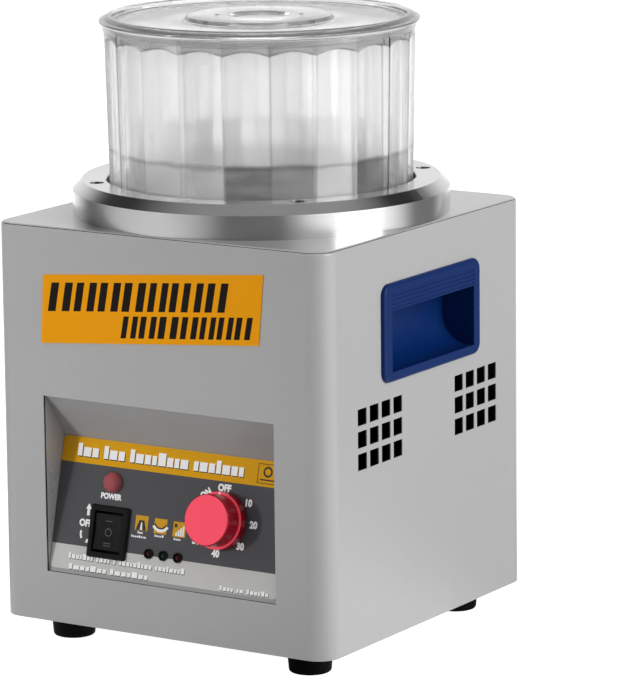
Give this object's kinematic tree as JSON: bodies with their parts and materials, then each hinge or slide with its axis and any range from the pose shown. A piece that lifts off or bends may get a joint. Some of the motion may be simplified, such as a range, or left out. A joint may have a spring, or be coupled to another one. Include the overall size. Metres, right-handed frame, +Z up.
{
  "type": "magnetic tumbler",
  "caption": "Bench tumbler: box cabinet with a motor-driven magnet disc under a clear fluted bowl and lid in a metal collar, with a timer and switch on a sunk front panel.",
  "frame": {"origin": "on the floor under the middle of the cabinet", "axes": "+Z up, +X to the right seen from the front, +Y to the back, so the control panel faces -Y"},
  "size_m": [0.256, 0.2694, 0.403],
  "materials": {
    "body_grey": "satin paint",
    "recess_grey": "satin paint",
    "label_yellow": "printed film",
    "overlay_dark": "printed film",
    "clear_bowl": "clear",
    "clear_lid": "clear",
    "collar_metal": "turned and brushed",
    "knob_red": "gloss",
    "white_mark": "printed",
    "handle_blue": "moulded",
    "black_plastic": "satin",
    "black_rubber": "moulded",
    "lamp_red": "translucent",
    "led_red": "dark lens",
    "led_green": "dark lens",
    "black_steel": "black oxide",
    "zinc_steel": "zinc plated",
    "ground_steel": "ground",
    "cast_alloy": "cast",
    "rotor_alloy": "turned",
    "magnet_nickel": "nickel plated",
    "lamination": "varnished steel laminations",
    "copper": "enamelled copper wire",
    "brass_tab": "plain",
    "cream_plastic": "moulded",
    "fan_plastic": "moulded",
    "fuse_glass": "clear"
  },
  "bodies": {
    "cabinet": {"housing": "body_grey", "control_recess": "recess_grey", "front_label": "label_yellow", "panel_overlay": "overlay_dark", "collar_ring": "collar_metal", "collar_screws": "black_steel", "timer_body": "black_plastic", "timer_nut": "zinc_steel", "lamp_lens": "lamp_red", "lamp_body": "black_plastic", "lamp_nut": "black_plastic", "switch_body": "black_plastic", "switch_terminals": "brass_tab", "status_led_left": "led_red", "status_led_middle": "led_green", "status_led_right": "led_red", "led_clips": "black_plastic", "handle_left": "handle_blue", "handle_right": "handle_blue", "feet": "black_rubber", "base_plate": "zinc_steel", "base_screws": "zinc_steel", "foot_screws": "zinc_steel", "m5_nuts": "zinc_steel", "mains_inlet": "black_plastic", "inlet_pins": "brass_tab", "inlet_screws": "zinc_steel", "fuse_holder": "black_plastic", "fuse_nut": "black_plastic", "motor_bearings": "ground_steel", "motor_stator": "lamination", "motor_windings": "copper", "motor_bell_upper": "cast_alloy", "motor_bell_lower": "cast_alloy", "motor_bolts": "black_steel", "motor_plate": "zinc_steel", "motor_pillars": "ground_steel", "pillar_screws": "black_steel", "capacitor": "cream_plastic", "capacitor_clamp": "zinc_steel", "terminal_block": "cream_plastic", "terminal_screws": "zinc_steel"},
    "lid": {"lid": "clear_lid"},
    "bowl": {"bowl": "clear_bowl"},
    "rotor": {"motor_shaft": "ground_steel", "motor_armature": "lamination", "rotor_hub": "rotor_alloy", "rotor_disc": "rotor_alloy", "magnets_north": "magnet_nickel", "magnets_south": "magnet_nickel", "hub_screws": "black_steel", "hub_grub_screw": "black_steel", "cooling_fan": "fan_plastic"},
    "timer_knob": {"timer_knob": "knob_red", "timer_shaft": "ground_steel", "knob_grub_screw": "black_steel", "knob_pointer": "white_mark"},
    "switch_paddle": {"switch_paddle": "black_plastic"},
    "fuse_carrier": {"fuse_cap": "black_plastic", "fuse": "fuse_glass"}
  },
  "joints": [
    {"name": "bowl_lift", "type": "slide", "parent": "cabinet", "child": "bowl", "axis": [0, 0, 1], "range_m": [0, 0.16]},
    {"name": "lid_lift", "type": "slide", "parent": "bowl", "child": "lid", "axis": [0, 0, 1], "range_m": [0, 0.12]},
    {"name": "rotor_spin", "type": "hinge", "parent": "cabinet", "child": "rotor", "pos_m": [0, 0, 0.15], "axis": [0, 0, 1], "continuous": true},
    {"name": "timer_turn", "type": "hinge", "parent": "cabinet", "child": "timer_knob", "pos_m": [0.04, -0.11215, 0.09553], "axis": [0, -0.9728, 0.2317], "range_deg": [-282, 40]},
    {"name": "switch_rock", "type": "hinge", "parent": "cabinet", "child": "switch_paddle", "pos_m": [-0.044, -0.11519, 0.07846], "axis": [1, 0, 0], "range_deg": [-12, 12]},
    {"name": "fuse_cap_pull", "type": "slide", "parent": "cabinet", "child": "fuse_carrier", "axis": [0, 1, 0], "range_m": [0, 0.035]}
  ]
}
